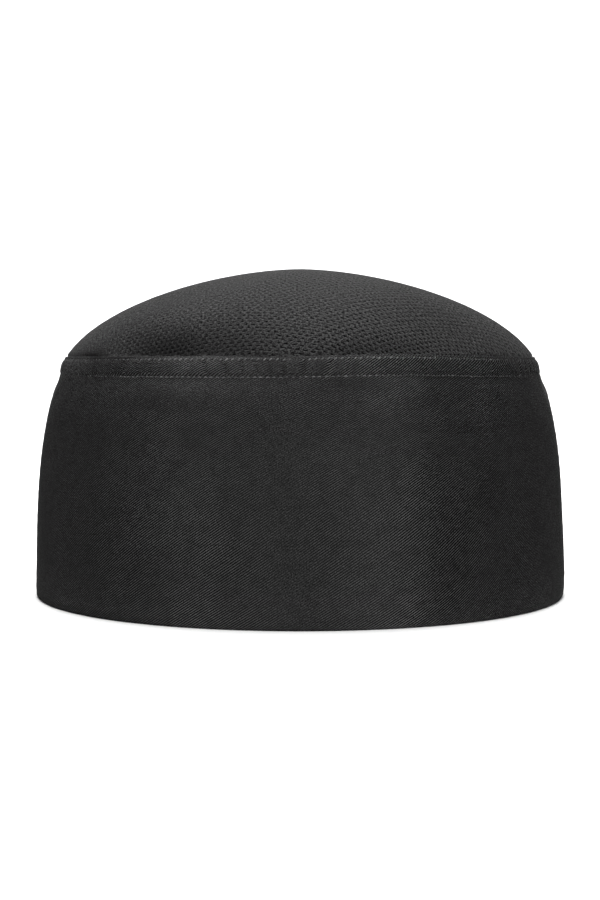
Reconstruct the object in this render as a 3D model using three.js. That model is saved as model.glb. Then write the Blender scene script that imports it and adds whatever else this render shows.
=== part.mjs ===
import * as THREE from "three";

// A one-size mesh beanie: a tall band of doubled twill, and a domed crown of knitted mesh
// whose lower edge is sewn into a hem strip at the top of the band.
// Millimetres, +Z up. The front faces -Y, and the origin is the middle of the lower edge.

// The oval of the lower edge, outside
const rimHalfWidth = 93;
const rimHalfLength = 102;

// The number of flats round the oval
const flats = 64;

// Cloth thicknesses
const bandWall = 2;
const crownWall = 1;
const hemWall = 1;
const seamClearance = 0.35;

// The fold of the band at its lower edge
const foldInset = 0.5;
const foldHeight = 1.5;

// The band's outside from its top edge down to the fold.
// inset is how far the oval there lies inside the oval of the lower edge.
const bandFace = [
  { height: 83.1, inset: 11.1 },
  { height: 82.5, inset: 10.7 },
  { height: 81.2, inset: 9.65 },
  { height: 79.4, inset: 9.05 },
  { height: 77, inset: 8.63 },
  { height: 76.2, inset: 8.5 },
  { height: 74.9, inset: 8.1 },
  { height: 72.5, inset: 7.1 },
  { height: 67, inset: 5.3 },
  { height: 60, inset: 3.8 },
  { height: 50, inset: 2.3 },
  { height: 40, inset: 1.3 },
  { height: 28, inset: 0.55 },
  { height: 14, inset: 0.1 },
  { height: foldHeight, inset: 0 },
];

// The crown's outside where it is sewn into the hem strip, from the top of the strip down
const seamFace = [
  { height: 82.5, inset: 11.45 },
  { height: 81, inset: 11 },
  { height: 79, inset: 10.55 },
  { height: 76.3, inset: 10.05 },
];

// The pocket between the two cloths of the strip ends below the crown's lower edge.
const pocketFloor = 75.9;

// The inside of the band's plain part ends here, under the thicker strip.
const stripFoot = 72.5;

// Where the crown leaves the strip
const crownExit = { height: 83.2, inset: 11.5 };

// The crown's dome: height = spring + rise * (1 - (halfWidth / springHalfWidth) ^ fullness) ^ crest
const domeSpring = 75.75;
const domeRise = 38.2;
const domeSpringHalfWidth = 84.46;
const domeFullness = 1.708;
const domeCrest = 0.547;
const domeRows = 13;

// Shallow dents in the crown, just above the strip: angle is counted from +X, in degrees.
const dents = [
  { angle: 241, height: 87, halfSpan: 20, halfHeight: 3.6, depth: 1.2 },
  { angle: 290, height: 87, halfSpan: 17, halfHeight: 3.6, depth: 1 },
];

// Finishes
const twill = new THREE.MeshStandardMaterial({ color: 0x2a2a2c, roughness: 0.85, metalness: 0 });
const meshKnit = new THREE.MeshStandardMaterial({ color: 0x3a3a3c, roughness: 0.8, metalness: 0 });

function oval(inset, height) {
  return { halfWidth: rimHalfWidth - inset, halfLength: rimHalfLength - inset, height };
}

function ringPoints({ halfWidth, halfLength, height }) {
  const points = [];
  for (let flat = 0; flat < flats; flat += 1) {
    const angle = (2 * Math.PI * flat) / flats;
    points.push(new THREE.Vector3(halfWidth * Math.cos(angle), halfLength * Math.sin(angle), height));
  }
  return points;
}

function solidFrom(points, triangles) {
  const geometry = new THREE.BufferGeometry();
  geometry.setFromPoints(points);
  geometry.setIndex(triangles);
  geometry.computeVertexNormals();
  return geometry;
}

// Joins two rings by a strip of triangles. The outside is on the right of the way from upper to lower.
function joinRings(triangles, upper, lower) {
  for (let flat = 0; flat < flats; flat += 1) {
    const next = (flat + 1) % flats;
    triangles.push(upper + flat, lower + flat, upper + next);
    triangles.push(upper + next, lower + flat, lower + next);
  }
}

// A closed section carried round the oval
function ringSolid(section) {
  const points = section.flatMap(ringPoints);
  const triangles = [];
  section.forEach((_, row) => {
    const following = (row + 1) % section.length;
    joinRings(triangles, row * flats, following * flats);
  });
  return solidFrom(points, triangles);
}

// A cup: an outer apex, rings down the outside and up the inside, and an inner apex
function shellSolid(outerApex, rings, innerApex) {
  const points = [outerApex, ...rings.flat(), innerApex];
  const triangles = [];
  const last = points.length - 1;
  const lastRing = last - flats;
  for (let flat = 0; flat < flats; flat += 1) {
    const next = (flat + 1) % flats;
    triangles.push(0, 1 + flat, 1 + next);
    triangles.push(last, lastRing + next, lastRing + flat);
  }
  for (let row = 0; row < rings.length - 1; row += 1) {
    joinRings(triangles, 1 + row * flats, 1 + (row + 1) * flats);
  }
  return solidFrom(points, triangles);
}

function bandGeometry() {
  const inward = (rows, distance) => rows.map((row) => oval(row.inset + distance, row.height));
  const plainPart = bandFace.filter((row) => row.height <= stripFoot).reverse();
  const hemOutside = crownWall + seamClearance;
  const hemInside = hemOutside + hemWall;
  const top = seamFace[0];
  const foot = seamFace[seamFace.length - 1];
  return ringSolid([
    ...inward(bandFace, 0),
    oval(foldInset, 0),
    oval(bandWall - foldInset, 0),
    ...inward(plainPart, bandWall),
    oval(foot.inset + hemInside, pocketFloor - hemWall),
    ...inward([...seamFace].reverse(), hemInside),
    oval(top.inset + (hemInside + hemOutside) / 2, top.height + hemWall / 2),
    ...inward(seamFace.slice(0, -1), hemOutside),
    oval(foot.inset + hemOutside, pocketFloor),
    oval(foot.inset - seamClearance, pocketFloor),
    ...inward(seamFace.slice(0, -1).reverse(), -seamClearance),
  ]);
}

function domeHeight(halfWidth, wall) {
  const share = halfWidth / (domeSpringHalfWidth - wall);
  return domeSpring + (domeRise - wall) * (1 - share ** domeFullness) ** domeCrest;
}

// 1 in the middle of a dent, and 0 from its edge on
function fade(distance, reach) {
  const share = Math.min(1, Math.abs(distance) / reach);
  return Math.cos((Math.PI / 2) * share) ** 2;
}

// How far the dents draw a point of the dome in
function dentDepth(angle, height) {
  let depth = 0;
  for (const dent of dents) {
    const along = fade(angle - dent.angle, dent.halfSpan);
    const up = fade(height - dent.height, dent.halfHeight);
    depth += dent.depth * along * up;
  }
  return depth;
}

function domeRing(halfWidth, halfLength, height) {
  return ringPoints({ halfWidth, halfLength, height }).map((point, flat) => {
    const drawnIn = dentDepth((360 * flat) / flats, height) / Math.hypot(point.x, point.y);
    return new THREE.Vector3(point.x * (1 - drawnIn), point.y * (1 - drawnIn), point.z);
  });
}

// The rings of the outer or the inner face of the dome, from the apex down
function domeFace(wall) {
  const exit = oval(crownExit.inset + wall, crownExit.height);
  const lengthRatio = exit.halfLength / exit.halfWidth;
  const rings = [];
  for (let row = 1; row <= domeRows; row += 1) {
    const halfWidth = exit.halfWidth * Math.sin((Math.PI / 2) * (row / domeRows));
    rings.push(domeRing(halfWidth, halfWidth * lengthRatio, domeHeight(halfWidth, wall)));
  }
  rings.push(ringPoints(exit));
  return rings;
}

function crownGeometry() {
  const sewnEdge = (wall) => seamFace.map((row) => ringPoints(oval(row.inset + wall, row.height)));
  const outside = [...domeFace(0), ...sewnEdge(0)];
  const inside = [...domeFace(crownWall), ...sewnEdge(crownWall)];
  return shellSolid(
    new THREE.Vector3(0, 0, domeSpring + domeRise),
    [...outside, ...inside.reverse()],
    new THREE.Vector3(0, 0, domeSpring + domeRise - crownWall),
  );
}

const beanie = new THREE.Group();

const band = new THREE.Mesh(bandGeometry(), twill);
band.name = "band";
beanie.add(band);

const crown = new THREE.Mesh(crownGeometry(), meshKnit);
crown.name = "crown";
beanie.add(crown);

export default beanie;
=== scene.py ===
import math

import bpy
import numpy as np
from mathutils import Matrix, Vector


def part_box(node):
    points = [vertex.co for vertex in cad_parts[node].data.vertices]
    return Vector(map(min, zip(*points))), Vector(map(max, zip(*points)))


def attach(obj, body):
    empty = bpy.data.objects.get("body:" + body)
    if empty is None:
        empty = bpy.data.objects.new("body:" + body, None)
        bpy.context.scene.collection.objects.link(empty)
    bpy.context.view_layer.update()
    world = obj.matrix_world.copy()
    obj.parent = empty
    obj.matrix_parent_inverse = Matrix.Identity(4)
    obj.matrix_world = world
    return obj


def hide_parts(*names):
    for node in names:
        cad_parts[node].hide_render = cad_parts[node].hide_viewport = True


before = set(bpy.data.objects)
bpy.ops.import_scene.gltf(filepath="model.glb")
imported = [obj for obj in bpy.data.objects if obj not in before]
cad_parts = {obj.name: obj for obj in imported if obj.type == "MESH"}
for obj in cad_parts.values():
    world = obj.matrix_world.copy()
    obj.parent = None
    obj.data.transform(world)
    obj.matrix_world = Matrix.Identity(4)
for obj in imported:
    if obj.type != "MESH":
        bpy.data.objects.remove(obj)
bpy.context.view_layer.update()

# A black mesh beanie: a tall band of doubled twill with a hem strip along its top, and a domed
# crown of knitted mesh sewn into the strip. Sizes are in millimetres until a mesh is made.
MM = 0.001

# The oval of the band's lower edge, outside, from the frame
band_low, band_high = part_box("band")
RIM_HALF_WIDTH = (band_high.x - band_low.x) / 2 / MM
RIM_HALF_LENGTH = (band_high.y - band_low.y) / 2 / MM
CROWN_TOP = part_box("crown")[1].z / MM


# Tables

def table(columns, *rows):
    """A table as a list of rows, each a dict from the columns' names to its values."""
    names = columns.split()
    return [dict(zip(names, row)) for row in rows]


def column(rows, name):
    """One column of a table."""
    return np.array([row[name] for row in rows])


# Plan of the cap

def lengths_along(x, y):
    """The length to each point of a line, along the straight lines between them."""
    return np.concatenate([[0], np.cumsum(np.hypot(np.diff(x), np.diff(y)))])


# Angles round the oval of the lower edge, from the middle of the back, and the length to each
ANGLES = np.linspace(0, 2 * np.pi, 7201) + np.pi / 2
LENGTHS = lengths_along(RIM_HALF_WIDTH * np.cos(ANGLES), RIM_HALF_LENGTH * np.sin(ANGLES))
GIRTH = LENGTHS[-1]


def angle_at(around):
    """The oval's angle at a length round the lower edge, counted from the middle of the back."""
    turns = np.floor(around / GIRTH)
    return np.interp(around - turns * GIRTH, LENGTHS, ANGLES) + turns * 2 * np.pi


def place(around, inset, height):
    """A point on the oval that lies inset inside the lower edge's, at a height."""
    angle = angle_at(around)
    x = (RIM_HALF_WIDTH - inset) * np.cos(angle)
    y = (RIM_HALF_LENGTH - inset) * np.sin(angle)
    return np.stack(np.broadcast_arrays(x, y, height), axis=-1)


def front_distance(around):
    """The length round from the middle of the front, below 0 at the left."""
    return (around / GIRTH - np.floor(around / GIRTH) - 0.5) * GIRTH


def to_the_right(from_front):
    """1 at the cap's right, -1 at its left, and 0 at the middles of the front and the back."""
    return np.sin(2 * np.pi * from_front / GIRTH)


def outward(around):
    """The level direction away from the oval."""
    angle = angle_at(around)
    x = RIM_HALF_LENGTH * np.cos(angle)
    y = RIM_HALF_WIDTH * np.sin(angle)
    length = np.hypot(x, y)
    return np.stack([x / length, y / length, np.zeros_like(x)], axis=-1)


# Curves and fields

def smooth_curve(points, at):
    """A smooth line through points, given by its length along the straight lines between them.

    Gives the places at those lengths, and the directions there."""
    length = lengths_along(*points.T)
    steps = np.diff(length)
    slopes = np.gradient(points, length, axis=0)
    index = np.clip(np.searchsorted(length, at, side="right") - 1, 0, len(steps) - 1)
    span = steps[index][:, None]
    u = ((at - length[index]) / steps[index])[:, None]
    start, end = points[index], points[index + 1]
    leave, arrive = slopes[index] * span, slopes[index + 1] * span
    parts = (start, leave, end, arrive)
    shares = (2 * u**3 - 3 * u**2 + 1, u**3 - 2 * u**2 + u, 3 * u**2 - 2 * u**3, u**3 - u**2)
    rates = (6 * u**2 - 6 * u, 3 * u**2 - 4 * u + 1, 6 * u - 6 * u**2, 3 * u**2 - 2 * u)
    places = sum(share * part for share, part in zip(shares, parts))
    directions = sum(rate * part for rate, part in zip(rates, parts))
    return places, directions / np.linalg.norm(directions, axis=1)[:, None]


def ripples(around, seed, size, along=0.0, along_size=1.0):
    """A smooth random field round the cap, about 0 with a spread of 1, that closes on itself."""
    waves = 24
    random = np.random.default_rng(seed)
    most_turns = int(GIRTH / size)
    total = 0
    for _ in range(waves):
        turns = random.integers(-most_turns, most_turns + 1)
        rate = random.uniform(-1, 1) / along_size
        phase = random.uniform(0, 2 * np.pi)
        total = total + np.cos(2 * np.pi * (turns * around / GIRTH + rate * along) + phase)
    return total / math.sqrt(waves / 2)


def bump(distance, reach):
    """1 at no distance, falling smoothly to 0 at reach and staying there."""
    return np.cos(np.pi / 2 * np.clip(np.abs(distance) / reach, 0, 1)) ** 2


def between(low, high, value):
    """0 below low, 1 above high, and smooth between."""
    share = np.clip((value - low) / (high - low), 0, 1)
    return share * share * (3 - 2 * share)


def gains_near(rows, from_front):
    """The sum of a table's gains, each near its place round from the middle of the front."""
    return sum(row["gain"] * bump(from_front - row["from_front"], row["half_width"]) for row in rows)


# Meshes

def mesh_object(name, points, quads=(), triangles=(), values=None, cloth=None, flat=()):
    """A mesh piece from arrays in millimetres. values are its named numbers, one per point.

    cloth holds places on the flat cloth, in millimetres, one for each point or one for each corner
    of each face. flat holds the numbers of the triangles that aren't shaded smoothly."""
    quads = np.asarray(quads, np.int32).reshape(-1, 4)
    triangles = np.asarray(triangles, np.int32).reshape(-1, 3)
    corners = np.concatenate([quads.ravel(), triangles.ravel()])
    sizes = np.concatenate([np.full(len(quads), 4), np.full(len(triangles), 3)])
    starts = np.concatenate([[0], np.cumsum(sizes)[:-1]])
    mesh = bpy.data.meshes.new(name)
    mesh.vertices.add(len(points))
    mesh.vertices.foreach_set("co", (points * MM).astype(np.float32).ravel())
    mesh.loops.add(len(corners))
    mesh.loops.foreach_set("vertex_index", corners)
    mesh.polygons.add(len(sizes))
    mesh.polygons.foreach_set("loop_start", starts.astype(np.int32))
    smooth = np.ones(len(sizes), bool)
    smooth[len(quads) + np.asarray(flat, int)] = False
    mesh.polygons.foreach_set("use_smooth", smooth)
    mesh.update(calc_edges=True)
    for label, numbers in (values or {}).items():
        layer = mesh.attributes.new(label, "FLOAT", "POINT")
        layer.data.foreach_set("value", np.asarray(numbers, np.float32).ravel())
    if cloth is not None:
        at_corners = cloth if len(cloth) == len(corners) else cloth[corners]
        layer = mesh.uv_layers.new(name="cloth")
        layer.uv.foreach_set("vector", (at_corners * MM).astype(np.float32).ravel())
    piece = bpy.data.objects.new(name, mesh)
    bpy.context.scene.collection.objects.link(piece)
    return piece


def grid_quads(rows, columns, closed=True):
    """The faces of a grid of points, row by row. A closed grid joins its last column to its first."""
    here = np.arange(columns if closed else columns - 1)
    following = (here + 1) % columns
    row = np.arange(rows - 1)[:, None] * columns
    next_row = row + columns
    quads = np.stack([row + here, next_row + here, next_row + following, row + following], -1)
    return quads.reshape(-1, 4)


# The band's section, from the pocket that holds the crown, over the top edge, down the outside,
# round the fold at the lower edge and up the inside to the pocket again
BAND_SECTION = table(
    "inset height",
    (10.2, 78.6),
    (10.9, 81.4),
    (11.12, 83.15),
    (10.98, 83.55),
    (10.68, 83.4),
    (10.3, 82.4),
    (9.65, 81.3),
    (9.2, 80.0),
    (8.95, 78.7),
    (8.68, 77.3),
    (8.6, 76.8),
    (8.45, 76.2),
    (8.1, 74.9),
    (7.1, 72.5),
    (5.3, 67),
    (3.8, 60),
    (2.3, 50),
    (1.3, 40),
    (0.55, 28),
    (0.12, 14),
    (0, 3),
    (0.12, 0.9),
    (0.5, 0.12),
    (1, 0),
    (1.5, 0.12),
    (1.88, 0.9),
    (2, 3),
    (2.2, 18),
    (3.3, 40),
    (5.8, 60),
    (8.6, 71),
    (10.9, 74),
    (12.2, 75.2),
    (12.6, 77),
    (13.2, 80),
    (13.7, 82.2),
    (13.5, 82.9),
    (13, 82.7),
    (12.6, 80.5),
)
SECTION = np.stack([column(BAND_SECTION, "inset"), column(BAND_SECTION, "height")], -1)
SECTION_AT = lengths_along(*SECTION.T)
# The section's highest and lowest points, by their numbers, and the heights of the rows of stitches
OUTSIDE_START = 3
FOLD = 23
UPPER_STITCHES = 82.35
LOWER_STITCHES = 76.8


def down_the_outside(height):
    """The length along the section to a height on the outside of the band."""
    outside = slice(OUTSIDE_START, FOLD + 1)
    return np.interp(height, SECTION[outside, 1][::-1], SECTION_AT[outside][::-1])


def away(around, directions):
    """The direction out of the band's face. directions are those along the section, one for each row."""
    normal = outward(around) * -directions[:, 1][:, None, None]
    normal[..., 2] = -directions[:, 0][:, None]
    return normal


# The longest step between rows of points down the outside, for each stretch of it
ROW_STEPS = table(
    "until_height step",
    (75.6, 0.45),
    (70, 1.2),
    (60, 3.2),
    (4, 4.2),
)


def section_rows():
    """The lengths along the section at which the band has rows of points."""
    rows = list(SECTION_AT[: OUTSIDE_START + 1])
    at = rows[-1]
    for stretch in ROW_STEPS:
        end = down_the_outside(stretch["until_height"])
        count = max(1, math.ceil((end - at) / stretch["step"]))
        rows.extend(np.linspace(at, end, count + 1)[1:])
        at = end
    fold_start = next(k for k in range(OUTSIDE_START, FOLD) if SECTION_AT[k] > at + 0.5)
    rows.extend(SECTION_AT[fold_start:])
    return np.array(rows)


# The small slanting puckers of the hem strip, and what they are deeper by for places round it
PUCKER_COUNT = 113
PUCKER_DEPTH = 1.0
PUCKER_FAN = 0.3
PUCKER_WANDER = 1.2
PUCKER_GAINS = table(
    "from_front half_width gain",
    (0, 34, 0.8),
    (-30, 26, 0.4),
)


def pucker_wave(around, height):
    """1 along the middles of the strip's puckers and -1 halfway between.

    They fan out from the middle of the front."""
    fan = PUCKER_FAN * (height - LOWER_STITCHES) * np.clip(front_distance(around) / 10, -1, 1)
    wander = PUCKER_WANDER * ripples(around, seed=31, size=30)
    return np.cos(2 * np.pi * (around - fan + wander) * PUCKER_COUNT / GIRTH)


# How far the strip stands out between its stitches, and how deep the stitches draw it in
STRIP_STAND = 0.2
LOWER_GROOVE = 0.75
UPPER_DIP = 0.1


def strip_shape(around, height):
    """How far the hem strip stands out or is drawn in. It is flatter at the cap's sides."""
    above_lower = between(LOWER_STITCHES + 0.3, LOWER_STITCHES + 1.3, height)
    below_upper = 1 - between(UPPER_STITCHES - 1.1, UPPER_STITCHES + 0.1, height)
    from_front = front_distance(around)
    side = to_the_right(from_front) ** 2
    sharp = np.clip(pucker_wave(around, height), 0, 1) ** 5
    strength = 0.15 + 0.55 * between(-0.9, 1.2, ripples(around, seed=32, size=25))
    strength += gains_near(PUCKER_GAINS, from_front)
    swell = 0.08 * ripples(around, seed=33, size=9, along=height, along_size=9)
    stand = STRIP_STAND - 0.15 * side
    groove = (LOWER_GROOVE - 0.6 * side) * bump(height - LOWER_STITCHES - 0.55, 0.75)
    dip = UPPER_DIP * bump(height - UPPER_STITCHES, 0.7)
    return above_lower * below_upper * (stand - PUCKER_DEPTH * strength * sharp + swell) - groove - dip


# The strip was sewn on a little askew: it sits higher round a place at the right of the front
ASKEW_LIFT = 0.65
ASKEW_MIDDLE = 35
ASKEW_REACH = 48
LIP_PRESSED = 0.4


def askew(around):
    """1 where the strip sits highest, falling to 0 on both sides of it."""
    return bump(front_distance(around) - ASKEW_MIDDLE, ASKEW_REACH)


def strip_lift(around, height):
    """How far the hem strip sits above its place. The lip over the upper stitches is pressed down."""
    return ASKEW_LIFT * askew(around) * between(66, 76, height) - LIP_PRESSED * between(82.4, 83.4, height)


def band_shape(around, height):
    """Soft unevenness of the plain part of the band, and its bulge at the right."""
    plain = 1 - between(LOWER_STITCHES - 5, LOWER_STITCHES - 0.5, height)
    above_foot = between(0, 10, height)
    slow = 0.16 * ripples(around, seed=41, size=60, along=height, along_size=70)
    small = 0.12 * ripples(around, seed=42, size=10, along=height, along_size=14)
    under_strip = small * bump(height - LOWER_STITCHES + 5, 9)
    bulge = 0.4 * np.clip(to_the_right(front_distance(around)), 0, 1) * bump(height - 50, 26)
    return plain * above_foot * slow + under_strip + bulge


# Twill: diagonal ribs that rise to the right, as seen from outside. The profile has the heights of
# a rib's points across it, as shares of its own height.
RIB_PITCH = 1.26
RIB_COUNT = round(GIRTH / RIB_PITCH)
RIB_PROFILE = np.array([0.0, 1.0, 0.7])
RIB_HEIGHT = 0.14
# The ribs' lean from the level, in degrees. The cloth's bias is uneven, so the lean changes with height.
# front is what is added at the middle of the front, and turn at the cap's right.
RIB_LEAN = table(
    "height lean front turn",
    (0, 31.2, 0, 0.5),
    (22, 35, 0, 0.7),
    (40, 33, 0, 0),
    (58, 29.8, -3, -5),
    (70, 28.8, -3.3, -5.3),
    (75.5, 28.8, -3.3, -5.3),
    (77.5, 28.9, 0, 1.6),
    (83, 28.9, 0, 1.6),
)
# How far round a rib has gone for each unit of height, about
RIB_DRIFT = 1.55
# How far apart the ribs are round the band, over their even spacing: the cloth is stretched unevenly.
# high, middle and low are at the three heights of SPACING_HEIGHTS.
RIB_SPACING = table(
    "from_front high middle low",
    (-190, 1, 1, 1),
    (-66, 1.03, 1.08, 1.02),
    (-48, 1.05, 1.06, 1.02),
    (-38, 1.03, 0.96, 1),
    (-28, 0.99, 0.97, 1.01),
    (-19, 0.97, 1, 1.02),
    (-1, 1.03, 1, 0.96),
    (8, 1.02, 1.02, 1.04),
    (17, 0.96, 1.03, 1.08),
    (26, 0.96, 1.04, 1.11),
    (36, 0.93, 1.08, 1.09),
    (44, 0.88, 1.07, 1.02),
    (50, 0.86, 1.06, 0.97),
    (56, 0.9, 1.06, 0.93),
    (62, 1.1, 1.06, 0.93),
    (68, 1.2, 1.05, 0.95),
    (76, 1.14, 1.04, 0.98),
    (86, 1.05, 1.02, 1),
    (190, 1, 1, 1),
)
SPACING_HEIGHTS = {"low": 22, "middle": 52, "high": 76}


def rib_lean(start, height):
    """The ribs' lean in radians, by where a rib starts at the lower edge and by the height."""
    known = column(RIB_LEAN, "height")
    lean, front, turn = (
        np.interp(height, known, column(RIB_LEAN, name)) for name in ("lean", "front", "turn")
    )
    angle = 2 * np.pi * (start + RIB_DRIFT * height - GIRTH / 2) / GIRTH
    return np.radians(lean + front * np.cos(angle) + turn * np.sin(angle))


def rib_shift(around, height):
    """How far the cloth's uneven stretch moves the ribs round. It is nothing at the middle of the front."""
    places = np.linspace(-GIRTH / 2, GIRTH / 2, 1201)
    front = len(places) // 2
    from_front = front_distance(around)
    shifts = {}
    for level in SPACING_HEIGHTS:
        extra = np.interp(places, column(RIB_SPACING, "from_front"), column(RIB_SPACING, level)) - 1
        moved = np.cumsum(extra) * (places[1] - places[0])
        moved -= moved[front] + places * (moved[-1] - moved[0]) / GIRTH
        shifts[level] = np.interp(from_front, places, moved)
    low, middle, high = SPACING_HEIGHTS.values()
    below = np.interp(height, [low, middle], [0, 1])
    above = np.interp(height, [middle, high], [0, 1])
    lower_part = shifts["low"] + (shifts["middle"] - shifts["low"]) * below
    return lower_part + (shifts["high"] - shifts["middle"]) * above


# The creases at the middle of the front, along which the ribs are pressed flatter
CREASES = table(
    "from_front width share",
    (-5, 9, 0.7),
    (16, 14, 0.3),
)
# What the ribs stand out more by in the band's lower half
LOW_RIB_GAINS = table(
    "from_front half_width gain",
    (-42, 34, 0.3),
    (38, 28, 0.25),
)
# Where the ribs stand out less or more, both in their relief and in their painted crest light and valley
# shade
RIB_PATCHES = table(
    "from_front half_width from_height to_height gain",
    (-44, 36, 67, 75.5, -0.62),
    (-24, 16, 60, 75.5, -0.15),
    (-38, 24, 76, 79.5, -0.3),
    (0, 34, 60, 75.5, -0.35),
    (38, 22, 66, 75.5, 0.25),
    (-14, 34, 76, 84, -0.42),
    (32, 14, 76, 84, 0.2),
    (-19, 11, 2, 60, -0.2),
    (21, 15, 2, 60, -0.28),
    (0, 8, 2, 24, -0.3),
    (0, 12, 24, 75, 0.35),
    (27, 14, 2, 26, -0.15),
    (32, 12, 20, 36, -0.2),
    (60, 15, 2, 32, -0.05),
    (62, 28, 58, 84, 0.6),
    (-48, 14, 48, 62, 0.3),
    (-10, 7, 12, 36, 0.25),
)


def rib_strength(around, height):
    """How clearly the ribs stand out."""
    from_front = front_distance(around)
    in_strip = between(74, 78, height)
    below_strip = 1 - in_strip
    low = 1 - between(44, 60, height)
    pressed = sum(
        crease["share"] * np.exp(-(((from_front - crease["from_front"]) / crease["width"]) ** 2))
        for crease in CREASES
    )
    strength = 1.1 - pressed * (1 - 0.45 * between(55, 68, height))
    strength += 0.25 * to_the_right(from_front)
    strength += low * gains_near(LOW_RIB_GAINS, from_front)
    strength += in_strip * (0.5 * between(0, 30, np.abs(from_front)) - 0.05)
    strength += below_strip * (0.15 * bump(height - 69, 12) - 0.1 * bump(height - 58, 10))
    strength += 0.3 * bump(from_front + 60, 30)
    strength += 0.65 * bump(from_front - 62, 36) * (1 - 0.15 * in_strip)
    for patch in RIB_PATCHES:
        in_patch = between(patch["from_height"] - 2, patch["from_height"] + 2, height)
        in_patch *= 1 - between(patch["to_height"] - 1.5, patch["to_height"] + 1.5, height)
        in_patch *= bump(from_front - patch["from_front"], patch["half_width"])
        strength *= 1 + patch["gain"] * in_patch
    strength *= 1 + 0.8 * in_strip * pucker_wave(around, height) * bump(from_front - 7, 20)
    worn = 0.08 * ripples(around, seed=43, size=25, along=height, along_size=30)
    return np.clip(strength + worn, 0.15, 2.2)


def twill_grain(from_front, height, strength):
    """How grainy the twill looks: most where its ribs are worn, and least low down at the sides."""
    side = np.abs(to_the_right(from_front))
    grain = 1.3 - np.minimum(strength, 1) * (1 - 0.8 * between(0.4, 0.8, side))
    grain += 0.5 * bump(height - 72, 16) * (1 - bump(from_front - 52, 26))
    return grain * (1 - 0.7 * between(0.82, 0.92, side) * (1 - between(30, 60, height)))


# Painted light and shade on the twill, by the length round from the middle of the front: darker towards the
# sides
TWILL_PAINTED_SHADING = table(
    "from_front tone",
    (-306, 1.0),
    (-150, 0.9),
    (-96, 0.84),
    (-76, 0.8),
    (-66, 0.71),
    (-57, 0.67),
    (-48, 0.76),
    (-38, 0.89),
    (-28, 0.955),
    (-19, 0.96),
    (-5, 0.99),
    (8, 0.985),
    (18, 1.1),
    (28, 1.1),
    (35, 0.91),
    (41, 0.74),
    (48, 0.66),
    (60, 0.67),
    (76, 0.63),
    (89, 0.65),
    (98, 0.72),
    (120, 0.9),
    (306, 1.0),
)
# Painted light and shade on the strip: what it is made lighter or darker by, all round and for places round
# it
STRIP_PAINTED_LIGHT = 0.09
STRIP_PAINTED_SHADING = table(
    "from_front half_width gain",
    (-26, 48, 0.36),
    (-43, 14, 0.22),
    (56, 28, 0.14),
    (-18, 10, 0.12),
    (-72, 16, -0.32),
    (-41, 8, 0.1),
    (67, 11, 0.3),
    (47, 7, 0.07),
    (28, 20, -0.14),
    (50, 20, 0.16),
    (78, 10, 0.45),
    (-65, 8, 0.14),
    (-9, 8, -0.15),
    (-89, 9, -0.32),
    (-35, 6, -0.09),
)
# The same painted light and shade just under the strip
UNDER_STRIP_PAINTED_LIGHT = 0.045
UNDER_STRIP_PAINTED_SHADING = table(
    "from_front half_width gain",
    (-46, 46, 0.3),
    (-36, 30, 0.24),
    (15, 20, -0.26),
    (50, 28, 0.1),
    (70, 15, 0.42),
    (-52, 22, 0.26),
    (44, 9, 0.26),
    (76, 9, 0.14),
    (26, 10, -0.06),
    (-21, 7, -0.09),
    (63, 7, -0.1),
    (53, 8, 0.12),
    (37, 6, -0.05),
    (30, 8, -0.07),
    (49, 8, 0.08),
    (104, 13, -0.22),
    (88, 8, 0.08),
)
# The same painted light and shade for patches of the plain part, and painted light from the floor over the
# foot
PAINTED_SHADING_PATCHES = table(
    "from_front half_width height half_height gain",
    (62, 26, 66, 8, 0.34),
    (-38, 34, 66, 8, 0.08),
    (70, 12, 65, 9, 0.22),
    (49, 9, 65, 9, 0.1),
    (30, 9, 65, 7, -0.1),
    (83, 9, 66, 9, 0.12),
    (-83, 9, 66, 9, 0.12),
    (66, 16, 50, 14, -0.08),
    (-41, 12, 50, 14, -0.08),
    (44, 24, 53, 10, -0.08),
    (64, 15, 36, 15, -0.17),
    (14, 22, 64, 12, -0.05),
    (22, 16, 14, 44, 0.15),
    (32, 12, 22, 36, 0.12),
    (49, 8, 10, 36, -0.06),
    (70, 9, 44, 20, -0.07),
)
FOOT_PAINTED_BOUNCE = 0.28


def twill_painted_shading(around, height):
    """The twill's painted light and shade at a place: painted shade at the sides, a painted shadow along
    the lip at the left, and painted light from the floor at the foot all round.
    """
    from_front = front_distance(around)
    left = -to_the_right(from_front)
    tone = np.interp(from_front, column(TWILL_PAINTED_SHADING, "from_front"), column(TWILL_PAINTED_SHADING, "tone"))
    in_strip = between(76, 77.5, height)
    tone *= 1 + in_strip * (STRIP_PAINTED_LIGHT + gains_near(STRIP_PAINTED_SHADING, from_front))
    under_strip = (1 - between(75.6, 76.6, height)) * bump(height - 74.5, 6)
    tone *= 1 + under_strip * (UNDER_STRIP_PAINTED_LIGHT + gains_near(UNDER_STRIP_PAINTED_SHADING, from_front))
    for patch in PAINTED_SHADING_PATCHES:
        in_patch = bump(from_front - patch["from_front"], patch["half_width"])
        in_patch *= bump(height - patch["height"], patch["half_height"])
        tone *= 1 + patch["gain"] * in_patch
    # Painted shade across the band's upper half and at the right of the front, a painted shadow along the
    # lip at the left, painted shade low down at the sides, and painted light from the floor at the foot
    tone *= 1 - 0.07 * bump(height - 64, 12)
    right_of_front = between(68, 86, from_front) * (1 - between(120, 180, from_front))
    tone *= 1 - 0.2 * between(52, 68, height) * right_of_front
    tone *= 1 - 0.35 * between(82.5, 83.2, height) * between(0.45, 0.75, left)
    sides = 0.09 * between(0.3, 0.65, np.abs(left)) + 0.03 * between(0.8, 0.95, np.abs(left))
    tone *= 1 - sides * between(0, 20, height) * (1 - between(50, 68, height))
    return tone * (1 + FOOT_PAINTED_BOUNCE * (1 - between(0, 16, height)))


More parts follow.
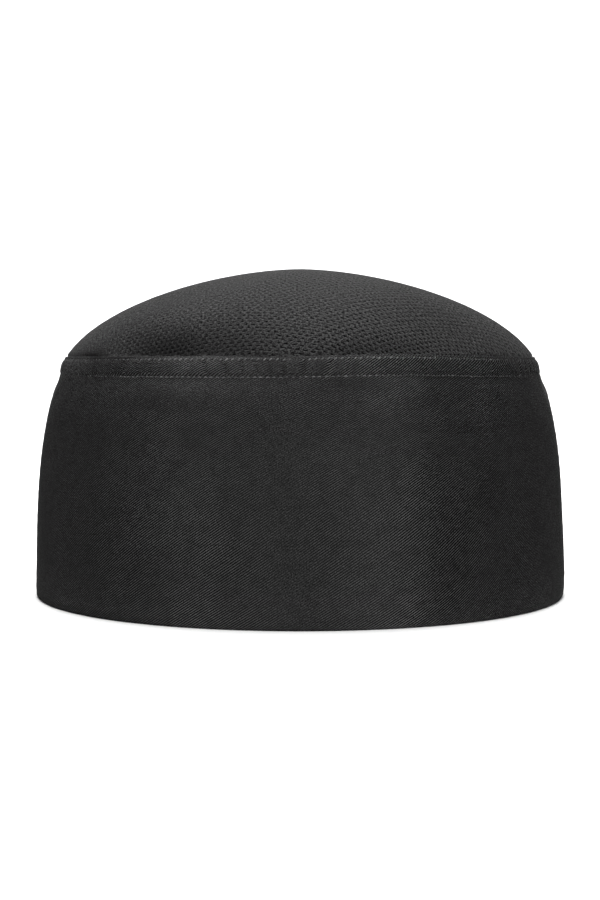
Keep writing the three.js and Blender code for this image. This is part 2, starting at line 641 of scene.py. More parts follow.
def rib_edges(rows, heights, on_outside, on_or_above_fold):
    """Where the ribs' points lie round each row, on the flat cloth and on the band.

    The first point of a row comes again at its end."""
    columns = RIB_COUNT * len(RIB_PROFILE)
    start = np.arange(columns + 1) * GIRTH / columns
    lean = rib_lean(start[None, :], np.where(on_outside, heights, 0)[:, None])
    forward = -np.diff(rows)[:, None] / np.tan((lean[1:] + lean[:-1]) / 2)
    shear = np.concatenate([np.zeros((1, columns + 1)), np.cumsum(forward, axis=0)])
    shear -= shear[np.argmin(np.abs(rows - SECTION_AT[FOLD]))]
    flat = start[None, :] + shear
    return flat, flat + rib_shift(flat, np.where(on_or_above_fold, heights, 0)[:, None])


def make_band():
    """The band: both faces of the doubled twill, with its strip, puckers and ribs."""
    rows = section_rows()
    places, directions = smooth_curve(SECTION, rows)
    on_or_above_fold = rows <= SECTION_AT[FOLD] + 0.01
    on_outside = (rows >= SECTION_AT[OUTSIDE_START]) & on_or_above_fold
    flat_edges, edges = rib_edges(rows, places[:, 1], on_outside, on_or_above_fold)
    around = edges[:, :-1]
    inset = np.broadcast_to(places[:, :1], around.shape)
    height = np.broadcast_to(places[:, 1:], around.shape)
    crest = np.broadcast_to(np.tile(RIB_PROFILE, RIB_COUNT), around.shape)
    strength = rib_strength(around, height)
    out = RIB_HEIGHT * (crest - 0.5) * strength
    out += on_outside[:, None] * (strip_shape(around, height) + band_shape(around, height))
    out -= bump(height, 2.5) * np.maximum(out, 0)
    points = place(around, inset, height + strip_lift(around, height))
    points += away(around, directions) * out[..., None]
    down = np.broadcast_to(-rows[:, None], around.shape)
    left = np.stack([flat_edges[:, :-1], down], -1)
    right = np.stack([flat_edges[:, 1:], down], -1)
    cloth = np.stack([left[:-1], left[1:], right[1:], right[:-1]], axis=2)
    return mesh_object(
        "band_twill",
        points.reshape(-1, 3),
        quads=grid_quads(*around.shape),
        values={
            "crest": crest,
            "strength": strength,
            "grain": twill_grain(front_distance(around), height, strength),
            "tone": twill_painted_shading(around, height),
        },
        cloth=cloth.reshape(-1, 2),
    )


# The seam at the middle of the back that closes the band: two rounded lips with a groove between. Its crest
# column paints the groove dark as painted shade and the lips light as painted light.
SEAM_PROFILE = table(
    "across proud crest",
    (-1.5, -0.3, 0.5),
    (-1.4, 0.08, 0.8),
    (-0.9, 0.3, 1.1),
    (-0.4, 0.3, 1.1),
    (-0.1, 0.15, 0.6),
    (0, 0, 0),
    (0.1, 0.15, 0.6),
    (0.4, 0.3, 1.1),
    (0.9, 0.3, 1.1),
    (1.4, 0.08, 0.8),
    (1.5, -0.3, 0.5),
)
SEAM_ROW_STEP = 0.25
SEAM_INSIDE_TOP = 73
SEAM_RIB_PITCH = 0.82


def make_back_seam():
    """The back seam, from just over the upper stitches, round the fold and up the inside."""
    inside = slice(FOLD, FOLD + 9)
    end = np.interp(SEAM_INSIDE_TOP, SECTION[inside, 1], SECTION_AT[inside])
    start = down_the_outside(UPPER_STITCHES + 0.6)
    rows = np.linspace(start, end, int((end - start) / SEAM_ROW_STEP))
    places, directions = smooth_curve(SECTION, rows)
    along = rows[:, None]
    across, inset, height = np.broadcast_arrays(
        column(SEAM_PROFILE, "across"), places[:, :1], places[:, 1:]
    )
    near_foot = bump(height, 2.5)
    proud = column(SEAM_PROFILE, "proud")
    proud = proud - near_foot * (np.maximum(proud, 0) + 0.05)
    on_outside = along <= SECTION_AT[FOLD]
    proud += on_outside * (strip_shape(across, height) + band_shape(across, height))
    points = place(across, inset, height + strip_lift(across, height))
    points += away(across, directions) * proud[..., None]
    ribs = 0.75 + 0.25 * np.cos(2 * np.pi * (along / SEAM_RIB_PITCH + across / RIB_PITCH))
    columns = len(SEAM_PROFILE)
    ends = [np.arange(columns)[::-1], (len(rows) - 1) * columns + np.arange(columns)]
    caps = [np.stack([np.full(columns - 2, end[0]), end[2:], end[1:-1]], -1) for end in ends]
    return mesh_object(
        "band_back_seam",
        points.reshape(-1, 3),
        quads=grid_quads(len(rows), columns),
        triangles=np.concatenate(caps),
        values={
            "crest": column(SEAM_PROFILE, "crest") * ribs,
            "strength": np.ones_like(height),
            "tone": np.ones_like(height),
        },
        cloth=np.stack(np.broadcast_arrays(across, along), -1).reshape(-1, 2),
    )


# The crown's dome, as in the frame
DOME_SPRING = 75.75
DOME_RISE = CROWN_TOP - DOME_SPRING
DOME_SPRING_HALF_WIDTH = 84.46
DOME_FULLNESS = 1.708
DOME_CREST = 0.547
CROWN_WALL = 1
EXIT_INSET = 11.5
EXIT_HALF_WIDTH = RIM_HALF_WIDTH - EXIT_INSET
LENGTH_RATIO = (RIM_HALF_LENGTH - EXIT_INSET) / EXIT_HALF_WIDTH
# The way of the crown's sewn edge down into the band's pocket
TUCK = table(
    "inset height",
    (11.5, 83.2),
    (11.45, 82.5),
    (11, 81),
    (10.85, 80),
)
# Dents, by the oval's angle in degrees. rise is how far up they run, and shade how much painted shadow
# darkens the mesh there.
DENTS = table(
    "angle half_span rise depth shade",
    (237, 25, 15, 4.4, 0.55),
    (255, 15, 20, 0.5, 0.34),
    (290, 20, 9, 2.2, 0.08),
    (279, 12, 5, 0.3, 0.28),
)
DENT_FOOT = 82.9
DENT_DEEPEST = 84.2


def dome_line(wall, samples=400):
    """The crown's half widths and heights from the apex to its sewn edge, and the length to each."""
    half = (EXIT_HALF_WIDTH - wall) * np.sin(np.linspace(0, np.pi / 2, samples))
    share = half / (DOME_SPRING_HALF_WIDTH - wall)
    height = DOME_SPRING + (DOME_RISE - wall) * (1 - share**DOME_FULLNESS) ** DOME_CREST
    half = np.append(half, RIM_HALF_WIDTH - column(TUCK, "inset") - wall)
    height = np.append(height, column(TUCK, "height"))
    return half, height, lengths_along(half, height)


OUTER_LINE = dome_line(0)
INNER_LINE = dome_line(CROWN_WALL)
CROWN_REACH = OUTER_LINE[2][-1]


def angle_from(angle, degrees):
    """How many degrees an angle in radians lies past one in degrees, from -180 to 180."""
    return (np.degrees(angle) - degrees + 180) % 360 - 180


def dent_share(dent, angle, up):
    """How much of a dent's depth is there: it starts just above the strip and runs out further up."""
    across = bump(angle_from(angle, dent["angle"]), dent["half_span"])
    above = bump(np.maximum(up - DENT_DEEPEST, 0), dent["rise"])
    return across * between(DENT_FOOT, DENT_DEEPEST, up) * above


def dome_place(share, angle, line):
    """Places on the dome at shares of the cloth's reach from the apex, and the directions away from it."""
    half, height, length = line
    step = 0.2
    at = share * length[-1]
    radius = np.interp(at, length, half)
    up = np.interp(at, length, height)
    next_radius = np.interp(at + step, length, half)
    next_up = np.interp(at + step, length, height, right=height[-1] - step)
    slope = np.arctan2(up - next_up, next_radius - radius)
    normal = np.stack([np.sin(slope) * np.cos(angle), np.sin(slope) * np.sin(angle), np.cos(slope)], -1)
    points = np.stack([radius * np.cos(angle), LENGTH_RATIO * radius * np.sin(angle), up], -1)
    dented = sum(dent["depth"] * dent_share(dent, angle, up) for dent in DENTS)
    return points - normal * dented[..., None], normal


# Painted light and shade: what the mesh is made lighter or darker by, for patches of it
KNIT_PAINTED_SHADING = table(
    "angle half_span height half_height gain",
    (306, 22, 96, 14, -0.22),
    (238, 11, 82.9, 10, -0.28),
    (259, 5, 82.9, 9, -0.1),
    (222, 7, 82.9, 6, 0.3),
    (213, 6, 82.9, 5, -0.2),
    (309, 28, 82.9, 16, 0.1),
    (296, 7, 84, 4, -0.12),
    (297, 9, 91, 5, 0.1),
    (278, 10, 90, 6, 0.06),
    (236, 12, 95, 6, 0.1),
    (226, 9, 90, 6, -0.1),
    (239, 6, 90, 6, -0.12),
    (267, 6, 90, 6, -0.08),
)


def knit_painted_shading(angle, up):
    """The mesh's painted light and shade: painted shade at the sides, just above the strip and in the
    dents, a painted shadow along the lip at the left, and a painted highlight at the apex.
    """
    across = np.cos(angle)
    below_apex = CROWN_TOP - up
    above_strip = up - DENT_FOOT
    tone = 1 - 0.16 * between(0.5, 0.85, np.abs(across)) * between(0, 10, below_apex)
    tone += 0.16 * bump(below_apex, 3) - 0.12 * bump(np.maximum(above_strip, 0), 12)
    tone -= 0.4 * between(0.62, 0.8, -across) * bump(above_strip, 4)
    for patch in KNIT_PAINTED_SHADING:
        in_patch = bump(angle_from(angle, patch["angle"]), patch["half_span"])
        in_patch *= bump(up - patch["height"], patch["half_height"])
        tone += patch["gain"] * in_patch
    # Painted shadow in the dents
    for dent in DENTS:
        tone *= 1 - dent["shade"] * dent_share(dent, angle, np.maximum(up, DENT_DEEPEST))
    return tone


# The mesh on the flat cloth: rows of long eyelets, each row set part of a pitch over from the last
HALF_PITCH = np.array([1.32, -0.4])
ROW_STEP = np.array([0.22, 1.82])
ALONG_ROW = HALF_PITCH / np.linalg.norm(HALF_PITCH)
ACROSS_ROW = np.array([-ALONG_ROW[1], ALONG_ROW[0]])
EYELET_HALF_LENGTH = 0.95
EYELET_HALF_WIDTH = 0.28
EYELET_DEPTH = 0.9
RIM_POINTS = 8
KNIT_LIFT = 0.15
# How the sewing pulls the cloth: it is dragged down and gathered at the right of the front, where
# the eyelets are pulled open, and squeezed together at the left
DRAG = 13
SQUEEZE = 0.25
GATHER = 0.34
GATHER_ANGLE = 300
PULLED_OPEN = 0.6
PULLED_OPEN_ANGLE = 304
PULL_HALF_SPAN = 42


def drag(flat):
    """Places on the flat cloth after it is dragged down at the right and squeezed at the left."""
    x, y = flat[..., 0], flat[..., 1]
    dragged = DRAG * between(0, 80, x)
    towards_front = np.clip(-y / 85, 0, 1.1)
    squeezed = SQUEEZE * np.maximum(-x - 40, 0)
    return np.stack([x + squeezed, y - dragged * towards_front], -1)


def to_polar(flat):
    """The share of the crown's reach and the oval's angle of places on the dragged cloth."""
    x, y = flat[..., 0], flat[..., 1] / LENGTH_RATIO
    share, angle = np.hypot(x, y) / CROWN_REACH, np.arctan2(y, x)
    gathered = GATHER * bump(angle_from(angle, GATHER_ANGLE), PULL_HALF_SPAN)
    return share - gathered * np.maximum(share - 0.8, 0), angle


def knit_cells(random):
    """The places of the knots between the eyelets and of the eyelets' middles on the flat cloth.

    Gives also the numbers of the four knots round each eyelet."""
    most = int(1.3 * CROWN_REACH * LENGTH_RATIO)
    steps = np.arange(-most, most + 1)
    row, step = np.meshgrid(steps, steps, indexing="ij")
    flat = step.reshape(-1, 1) * HALF_PITCH + row.reshape(-1, 1) * ROW_STEP
    number = np.arange(row.size).reshape(row.shape)
    staggered = (row + step) % 2 == 0
    middle = number[1:-1, 1:-1][staggered[1:-1, 1:-1]]
    knots = np.stack([middle + 1, middle + len(steps), middle - 1, middle - len(steps)], -1)
    share, _ = to_polar(drag(flat))
    kept = (share[knots] < 1).any(axis=1)
    middle, knots = middle[kept], knots[kept]
    used, knots = np.unique(knots, return_inverse=True)
    knot_places = flat[used] + random.normal(0, 0.04, (len(used), 2))
    middle_places = flat[middle] + random.normal(0, 0.05, (len(middle), 2))
    return knot_places, middle_places, knots.reshape(-1, 4)


def eyelet_rims(middles, random):
    """The places round each eyelet's rim on the flat cloth, and how far each eyelet is open."""
    stretched, angle = to_polar(drag(middles))
    side = np.cos(angle)
    in_front = 1 - between(0, 40, middles[:, 1])
    closed = np.where(side < 0, 1.15, 0.1) * side**2 * in_front
    opening = np.maximum(0.42 + 0.58 * between(0.45, 0.85, stretched) - closed, 0.12)
    size = random.uniform(0.78, 1.06, len(middles)) * opening
    wide = 1 + PULLED_OPEN * bump(angle_from(angle, PULLED_OPEN_ANGLE), PULL_HALF_SPAN)
    turn = np.linspace(0, 2 * np.pi, RIM_POINTS, endpoint=False)[:, None]
    along = EYELET_HALF_LENGTH * np.cos(turn) * ALONG_ROW
    across = EYELET_HALF_WIDTH * np.sin(turn) * ACROSS_ROW
    rims = middles[:, None, :] + (along + across * wide[:, None, None]) * size[:, None, None]
    return rims.reshape(-1, 2), opening


def knit_faces(knots, knot_count):
    """The triangles of the mesh's surface between knots and rims, and those of the eyelets' pits."""
    cells = len(knots)
    rim = knot_count + np.arange(cells)[:, None] * RIM_POINTS + np.arange(RIM_POINTS)
    pit = knot_count + cells * RIM_POINTS + np.arange(cells)
    quarter = RIM_POINTS // 4
    surface = []
    for k in range(4):
        knot = knots[:, k]
        next_knot = knots[:, (k + 1) % 4]
        for part in range(quarter):
            here = rim[:, k * quarter + part]
            following = rim[:, (k * quarter + part + 1) % RIM_POINTS]
            nearest = knot if part < quarter / 2 else next_knot
            surface.append(np.stack([nearest, following, here], -1))
        middle_of_side = rim[:, k * quarter + quarter // 2]
        surface.append(np.stack([knot, next_knot, middle_of_side], -1))
    pits = [np.stack([rim[:, k], rim[:, (k + 1) % RIM_POINTS], pit], -1) for k in range(RIM_POINTS)]
    return np.concatenate(surface), np.concatenate(pits)


def open_edge(triangles):
    """The points along a mesh's one open edge, in order."""
    sides = np.concatenate([triangles[:, [k, (k + 1) % 3]] for k in range(3)]).astype(np.int64)
    size = sides.max() + 1
    forward = sides[:, 0] * size + sides[:, 1]
    backward = sides[:, 1] * size + sides[:, 0]
    single = sides[~np.isin(forward, backward)]
    following = dict(single.tolist())
    first = int(single[0, 0])
    loop = [first]
    while following[loop[-1]] != first:
        loop.append(following[loop[-1]])
    return np.array(loop)


def even_angles(angles):
    """The angles of a loop round the crown without its small steps back, for the rows of the inner face."""
    window = 25
    count = len(angles)
    turned = np.unwrap(angles)
    turn = 2 * np.pi * np.sign(turned[-1] - turned[0])
    steady = turned[0] + turn * np.arange(count) / count
    wiggle = turned - steady
    around = np.concatenate([wiggle[-window:], wiggle, wiggle[:window]])
    smoothed = np.convolve(around, np.full(window, 1 / window), "same")[window:-window]
    return steady + smoothed


def crown_lining(edge, angles, first):
    """The crown's inner face: its points, which are numbered from first, its quads and its triangles.

    edge holds the numbers of the points along the outer face's edge, and angles their even angles."""
    near_edge = np.linspace(1, 0.86, 5)
    to_apex = np.cos(np.linspace(0.56, np.pi / 2, 10))[:-1]
    shares = np.append(near_edge, to_apex)
    share, angle = np.broadcast_arrays(shares[:, None], angles)
    rows, _ = dome_place(share, angle, INNER_LINE)
    apex, _ = dome_place(np.zeros(1), np.zeros(1), INNER_LINE)
    points = np.concatenate([rows.reshape(-1, 3), apex])
    numbers = np.concatenate([edge[None, :], first + np.arange(share.size).reshape(share.shape)])
    outer, inner = numbers[:-1], numbers[1:]
    quads = np.stack([outer, np.roll(outer, -1, 1), np.roll(inner, -1, 1), inner], -1)
    last = numbers[-1]
    cap = np.stack([last, np.roll(last, -1), np.full_like(last, first + share.size)], -1)
    return points, quads.reshape(-1, 4), cap


def knit_grain(across, facing_up, y):
    """How grainy the mesh looks: more on the top and towards the sides, and less at the back."""
    grain = between(0.6, 0.97, facing_up)
    grain += 1.25 * between(0.45, 0.8, across)
    grain += 0.5 * between(0.55, 0.8, -across) + 0.9 * between(0.76, 0.88, -across)
    return grain * (1 - 0.6 * between(0, 40, y))


def make_crown():
    """The crown: a dome of mesh with real eyelets outside and a smooth face inside."""
    random = np.random.default_rng(7)
    knot_places, middles, knots = knit_cells(random)
    rims, opening = eyelet_rims(middles, random)
    cloth = drag(np.concatenate([knot_places, rims, middles]))
    share, angle = to_polar(cloth)
    points, normal = dome_place(np.minimum(share, 1), angle, OUTER_LINE)
    at_knots = np.zeros(len(knot_places))
    at_rims = np.full(len(rims), 0.3)
    deep = np.concatenate([at_knots, at_rims, random.uniform(0.75, 1, len(middles))])
    shown = between(0.12, 0.45, opening)
    deep *= np.concatenate([at_knots, np.repeat(shown, RIM_POINTS), shown])
    deep *= between(83.1, 83.9, points[:, 2])
    sink = np.where(deep < 0.5, 0, EYELET_DEPTH * deep)
    lift = np.full(len(points), KNIT_LIFT)
    lift[: len(knot_places)] += random.normal(0, 0.02, len(knot_places))
    grain = knit_grain(np.cos(angle), normal[:, 2], points[:, 1])
    points = points + normal * (lift - sink)[:, None]
    surface, pits = knit_faces(knots, len(knot_places))
    outer = np.concatenate([surface, pits])
    edge = open_edge(outer)[::-1]
    lining, lining_quads, lining_cap = crown_lining(edge, even_angles(angle[edge]), len(points))
    no_value = np.zeros(len(lining))
    return mesh_object(
        "crown_knit",
        np.concatenate([points, lining]),
        quads=lining_quads,
        triangles=np.concatenate([outer, lining_cap]),
        values={
            "pit": np.concatenate([deep, no_value]),
            "tone": np.concatenate([knit_painted_shading(angle, points[:, 2]), no_value + 1]),
            "grainy": np.concatenate([grain, no_value]),
        },
        cloth=np.concatenate([cloth, lining[:, :2]]),
        flat=np.arange(len(surface), len(outer)),
    )


# Stitches. Each needle hole lies half a pitch past its stitch.
STITCH_PITCH = 2.0
STITCH_LENGTH = 1.25
THREAD_RADIUS = 0.21
THREAD_BOW = 0.3
THREAD_SUNK = 0.14
STITCH_END = -0.2
HOLE_HALF_LENGTH = 0.4
HOLE_HALF_WIDTH = 0.28
HOLE_RIM = 0.2
HOLE_TOP = 0.12
HOLE_BOTTOM = -0.3
# slant is in radians. proud is how far the row stands out, longer what its stitches are longer by
# where the strip sits highest, and arch how far each bends on the cloth. light and thick are shares.
STITCH_ROWS = table(
    "name height slant seed proud longer arch light thick",
    ("stitches_upper", UPPER_STITCHES, 0.6, 51, 0.06, 0.15, 0, 0.95, 0.9),
    ("stitches_lower", LOWER_STITCHES, 0.1, 52, 0.03, 0.0, 0.3, 0.8, 0.72),
)


def fan(middle, ring, turned=False):
    """The triangles between a point and a ring of points. A turned fan faces the other way."""
    following = np.roll(ring, -1)
    sides = (following, ring) if turned else (ring, following)
    return np.stack([np.full_like(ring, middle), *sides], -1)


def stitch_template(sides=8, rings=7):
    """One stitch and a needle hole: points as length along, across and up, faces, and what is hole.

    The stitch is a bowed bead of thread. The hole is a small cup, which the thread's material paints black
    as painted shade, here at the stitch's own place."""
    along = -np.cos(np.linspace(0, np.pi, rings + 2)[1:-1])[:, None]
    radius = THREAD_RADIUS * np.sqrt(1 - along**2) ** 0.7
    turn = np.linspace(0, 2 * np.pi, sides, endpoint=False)
    bow = THREAD_BOW * (1 - along**2) - THREAD_SUNK
    half = STITCH_LENGTH / 2
    bead = np.broadcast_arrays(along * half, radius * np.cos(turn), radius * np.sin(turn) + bow)
    ends = [(-half, 0, STITCH_END), (half, 0, STITCH_END)]
    hole = [HOLE_HALF_LENGTH * np.cos(turn), HOLE_HALF_WIDTH * np.sin(turn), np.full(sides, HOLE_RIM)]
    cup = [(0, 0, HOLE_TOP), (0, 0, HOLE_BOTTOM)]
    points = np.concatenate([np.stack(bead, -1).reshape(-1, 3), ends, np.stack(hole, -1), cup])
    start_end = rings * sides
    first_hole = start_end + 2
    start_ring = np.arange(sides)
    hole_ring = first_hole + start_ring
    top = first_hole + sides
    triangles = np.concatenate([
        fan(start_end, start_ring),
        fan(start_end + 1, start_end - sides + start_ring, turned=True),
        fan(top, hole_ring, turned=True),
        fan(top + 1, hole_ring),
    ])
    is_hole = np.arange(len(points)) >= first_hole
    return points, grid_quads(rings, sides)[:, ::-1], triangles[:, ::-1], is_hole


def make_stitches(name, height, slant, seed, proud, longer, arch, light, thick):
    """A row of stitches round the strip at a height, each slanting a little up to the right."""
    random = np.random.default_rng(seed)
    ((inset, up),), directions = smooth_curve(SECTION, np.array([down_the_outside(height)]))
    girth_there = GIRTH * (RIM_HALF_WIDTH - inset) / RIM_HALF_WIDTH
    count = round(girth_there / STITCH_PITCH)
    around = (np.arange(count) + random.normal(0, 0.05, count)) * GIRTH / count
    heights = up + random.normal(0, 0.05, count)
    from_front = around - GIRTH / 2
    tilt = slant * (1 + 0.3 * between(0, 40, from_front)) + random.normal(0, 0.08, count)
    out = away(around[None, :], directions)[0]
    side_way = np.cross([0, 0, 1], outward(around))
    along = side_way * np.cos(tilt)[:, None] + np.cross(out, side_way) * np.sin(tilt)[:, None]
    across = np.cross(out, along)
    sunk = 0.3 * bump(from_front + 1, 8) + 0.22 * bump(from_front - 42, 44)
    sunk += 0.42 * between(0.42, 0.92, np.abs(to_the_right(from_front)))
    surface = place(around, np.full(count, inset), heights + strip_lift(around, heights))
    surface += out * (strip_shape(around, heights) + proud - sunk)[:, None]
    points, quads, triangles, is_hole = stitch_template()
    shape = points[None] * random.uniform(0.9, 1.08, (count, 1, 1))
    shape[..., 0] *= 1 + longer * askew(around)[:, None]
    shape[..., 1:] *= np.where(is_hole, 1, thick)[:, None]
    shape[..., 1] += arch * (0.5 - (points[:, 0] / (STITCH_LENGTH / 2)) ** 2) * ~is_hole
    world_points = (
        surface[:, None, :]
        + is_hole[:, None] * side_way[:, None, :] * STITCH_PITCH / 2
        + shape[..., :1] * along[:, None, :]
        + shape[..., 1:2] * across[:, None, :]
        + shape[..., 2:] * out[:, None, :]
    )
    shift = np.arange(count)[:, None, None] * len(points)
    return mesh_object(
        name,
        world_points.reshape(-1, 3),
        quads=(quads[None] + shift).reshape(-1, 4),
        triangles=(triangles[None] + shift).reshape(-1, 3),
        values={
            "hole": np.tile(is_hole, count),
            "shade": np.repeat(random.uniform(0, 1, count) * light, len(points)),
        },
    )


# Materials

class Nodes:
    """A short way to add nodes to a material and link them. Most methods give the new node's output."""

    def __init__(self, name):
        self.material = bpy.data.materials.new(name)
        self.material.use_nodes = True
        self.tree = self.material.node_tree
        self.shader = self.tree.nodes["Principled BSDF"]

    def put(self, value, socket):
        """Links another node's output to a socket, or sets it to a plain value."""
        if isinstance(value, bpy.types.NodeSocket):
            self.tree.links.new(value, socket)
        else:
            socket.default_value = value

    def add(self, kind, inputs, output=0, **settings):
        node = self.tree.nodes.new(kind)
        for key, value in settings.items():
            setattr(node, key, value)
        for key, value in inputs.items():
            self.put(value, node.inputs[key])
        return node.outputs[output]

    def math(self, operation, first, second, clamp=False):
        return self.add("ShaderNodeMath", {0: first, 1: second}, operation=operation, use_clamp=clamp)

    def number(self, name):
        """One of the mesh's named numbers."""
        return self.add("ShaderNodeAttribute", {}, "Fac", attribute_name=name)

    def cloth(self):
        """The place on the flat cloth, in metres."""
        return self.add("ShaderNodeUVMap", {}, uv_map="cloth")

    def noise(self, vector, scale, detail):
        return self.add("ShaderNodeTexNoise", {"Vector": vector, "Scale": scale, "Detail": detail}, "Fac")

    def cloth_noise(self, across, along, detail):
        """Noise on the flat cloth, with its own scale each way."""
        stretched = self.add("ShaderNodeMapping", {"Vector": self.cloth(), "Scale": (across, along, 1)})
        return self.noise(stretched, 1.0, detail)

    def mix(self, factor, dark, light):
        return self.add("ShaderNodeMix", {0: factor, 6: dark, 7: light}, 2, data_type="RGBA")

    def scaled(self, colour, factor):
        return self.add("ShaderNodeVectorMath", {0: colour, "Scale": factor}, operation="SCALE")

    def span(self, value, low, high):
        """The value's share of the way from low to high, held between 0 and 1."""
        settings = {"Value": value, "From Min": low, "From Max": high}
        return self.add("ShaderNodeMapRange", settings, interpolation_type="SMOOTHSTEP")

    def faded(self, value, low, high, most):
        """The same share of most."""
        return self.math("MULTIPLY", self.span(value, low, high), most)

    def grained(self, colour, noise, amount, name):
        """The colour made lighter and darker by noise, as much as one of the mesh's named numbers says."""
        grain = self.math("MULTIPLY", self.math("SUBTRACT", noise, 0.5), amount)
        grain = self.math("MULTIPLY", grain, self.number(name))
        return self.scaled(colour, self.math("ADD", grain, 1.0))

    def relief(self, height, strength, distance):
        return self.add("ShaderNodeBump", {"Height": height, "Strength": strength, "Distance": distance})

    def shade(self, **inputs):
        """Sets the shader's inputs and gives the finished material."""
        for key, value in inputs.items():
            self.put(value, self.shader.inputs[key.replace("_", " ")])
        return self.material


def grey(level):
    """A grey of the linear level."""
    return (level, level, level, 1)


BLACK = grey(0.001)
DULL = grey(0.006)
# How light the twill is painted where its ribs are worn flat, as a share of the way from the valleys'
# painted shade to the crests' painted light
WORN_FLAT = 0.37


def twill_material():
    """Twill: crests painted light and valleys painted black as painted shade over the ribs' relief, ragged
    yarns, and slubs where it is worn.
    """
    n = Nodes("twill")
    strength = n.number("strength")
    yarn = n.cloth_noise(2600, 1300, 1)
    mottle = n.cloth_noise(260, 260, 3)
    soft = n.cloth_noise(30, 30, 2)
    slubs = n.cloth_noise(2300, 2000, 1)
    ragged = n.math("ADD", n.number("crest"), n.math("MULTIPLY", n.math("SUBTRACT", yarn, 0.5), 0.7))
    bold = n.math("MAXIMUM", n.math("SUBTRACT", strength, 1.0), 0.0)
    foot = n.math("ADD", n.math("MULTIPLY", bold, 0.36), 0.31)
    crest = n.math("SUBTRACT", n.span(ragged, foot, 1.0), WORN_FLAT)
    rib = n.math("MULTIPLY", crest, n.math("MINIMUM", strength, 1.0))
    # Painted light on the crests, brighter where the ribs are bold, and painted shade in the valleys
    crest_colour = n.mix(bold, grey(0.035), grey(0.083))
    colour = n.mix(n.math("ADD", rib, WORN_FLAT, clamp=True), BLACK, crest_colour)
    colour = n.mix(n.faded(mottle, 0.4, 0.7, 0.3), colour, DULL)
    colour = n.mix(n.faded(soft, 0.35, 0.65, 0.12), colour, DULL)
    colour = n.grained(colour, slubs, 3.2, "grain")
    # Painted light and shade from the mesh's numbers
    colour = n.scaled(colour, n.number("tone"))
    relief = n.relief(yarn, 0.5, 0.0001)
    return n.shade(Base_Color=colour, Roughness=0.9, Normal=relief, Specular_IOR_Level=0.01)


def knit_material():
    """Knitted mesh: fine loops, with eyelets painted black as painted shade for the dark seen through them.
    """
    n = Nodes("mesh_knit")
    loops = n.cloth_noise(1500, 1900, 3)
    soft = n.cloth_noise(90, 90, 2)
    fluff = n.cloth_noise(1100, 420, 1)
    colour = n.mix(n.span(loops, 0.38, 0.64), BLACK, grey(0.0395))
    colour = n.mix(n.math("MULTIPLY", soft, 0.2), colour, grey(0.01))
    colour = n.grained(colour, fluff, 1.6, "grainy")
    # Painted shade: the eyelets' pits are made black
    colour = n.mix(n.span(n.number("pit"), 0.3, 0.38), colour, BLACK)
    # Painted light and shade from the mesh's numbers
    colour = n.scaled(colour, n.number("tone"))
    relief = n.relief(loops, 0.6, 0.00015)
    n.shade(Sheen_Weight=0.018, Sheen_Roughness=0.3)
    return n.shade(Base_Color=colour, Roughness=0.9, Normal=relief, Specular_IOR_Level=0.02)


def thread_material():
    """Thread: lighter or darker from stitch to stitch, and needle holes painted black as painted shade."""
    n = Nodes("thread")
    ply = n.noise(n.add("ShaderNodeTexCoord", {}, "Object"), 1500, 1)
    colour = n.mix(n.number("shade"), grey(0.03), grey(0.12))
    colour = n.mix(n.faded(ply, 0.35, 0.65, 0.5), colour, grey(0.02))
    # Painted shade in the needle holes
    colour = n.mix(n.number("hole"), colour, BLACK)
    relief = n.relief(ply, 0.4, 0.0001)
    return n.shade(Base_Color=colour, Roughness=0.5, Normal=relief, Specular_IOR_Level=0.3)


# The cap
twill = twill_material()
knit = knit_material()
thread = thread_material()

band = make_band()
band.data.materials.append(twill)
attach(band, "root")
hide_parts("band")

crown = make_crown()
crown.data.materials.append(knit)
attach(crown, "root")
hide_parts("crown")

back_seam = make_back_seam()
back_seam.data.materials.append(twill)
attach(back_seam, "root")

for row in STITCH_ROWS:
    stitches = make_stitches(**row)
    stitches.data.materials.append(thread)
    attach(stitches, "root")


# The studio. Lights are placed in metres, and the floor and the camera in millimetres.

def make_sweep():
    """A pale floor that curves up into a backdrop behind the cap."""
    front = -4000.0
    depth = 2500.0
    radius = 900.0
    top = 2600.0
    half_width = 5000.0
    turn = np.linspace(0, np.pi / 2, 25)
    y = np.concatenate([[front], depth - radius + radius * np.sin(turn), [depth]])
    z = np.concatenate([[0], radius - radius * np.cos(turn), [top]])
    sides = [np.stack([np.full(len(y), side * half_width), y, z], -1) for side in (-1, 1)]
    quads = grid_quads(len(y), 2, closed=False)[:, ::-1]
    return mesh_object("sweep", np.stack(sides, 1).reshape(-1, 3), quads=quads)


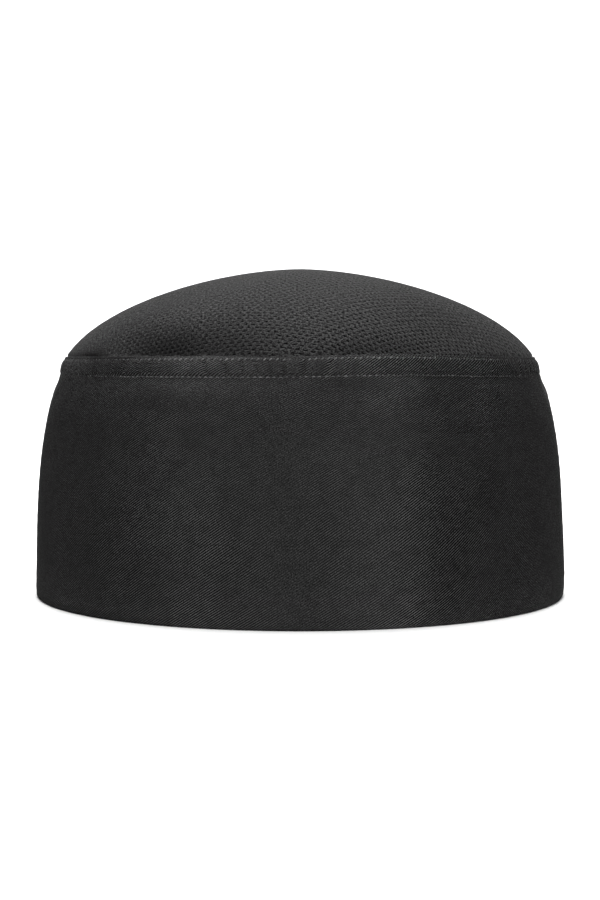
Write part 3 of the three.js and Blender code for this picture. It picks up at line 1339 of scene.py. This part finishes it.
sweep = make_sweep()
paper = Nodes("paper")
sweep.data.materials.append(paper.shade(Base_Color=grey(0.62), Roughness=0.9, Specular_IOR_Level=0.1))


def area_light(name, size, power, at, look_at=(0, 0, 0.06)):
    """A softbox of a width and a height, turned towards a place."""
    data = bpy.data.lights.new(name, "AREA")
    data.shape = "RECTANGLE"
    data.size, data.size_y = size
    data.energy = power
    light = bpy.data.objects.new(name, data)
    bpy.context.scene.collection.objects.link(light)
    turned = (Vector(look_at) - Vector(at)).to_track_quat("-Z", "Y").to_matrix().to_4x4()
    light.matrix_world = Matrix.Translation(at) @ turned


area_light("top_softbox", size=(0.7, 1.2), power=56, at=(0, 0.2, 1.5))
area_light("left_softbox", size=(0.5, 0.6), power=16, at=(-0.22, -1.55, 0.75))
area_light("right_softbox", size=(0.5, 0.6), power=16, at=(0.26, -1.52, 0.75))
area_light("backdrop_light", size=(2.6, 0.5), power=100, at=(0, 1.1, 1.9), look_at=(0, 2.4, 0.5))

world = bpy.data.worlds.new("studio")
world.use_nodes = True
background = world.node_tree.nodes["Background"]
background.inputs["Color"].default_value = grey(1)
background.inputs["Strength"].default_value = 0.06
bpy.context.scene.world = world
bpy.context.scene.view_settings.view_transform = "Standard"

# The camera, level with the top edge of the band and tilted down a little. Its focal length was
# fitted in the photo's pixels.
CAMERA_DISTANCE = 669.8
CAMERA_HEIGHT = 83.1
CAMERA_TILT = math.radians(2.823)
FOCAL_PIXELS = 1886.1
FRAME_HEIGHT_PIXELS = 900
SENSOR = 36.0
camera_data = bpy.data.cameras.new("camera")
camera_data.sensor_width = SENSOR
camera_data.lens = SENSOR * FOCAL_PIXELS / FRAME_HEIGHT_PIXELS
camera_data.clip_start = 0.01
camera = bpy.data.objects.new("camera", camera_data)
camera.location = (0, -CAMERA_DISTANCE * MM, CAMERA_HEIGHT * MM)
camera.rotation_euler = (math.pi / 2 - CAMERA_TILT, 0, 0)
bpy.context.scene.collection.objects.link(camera)
bpy.context.scene.camera = camera
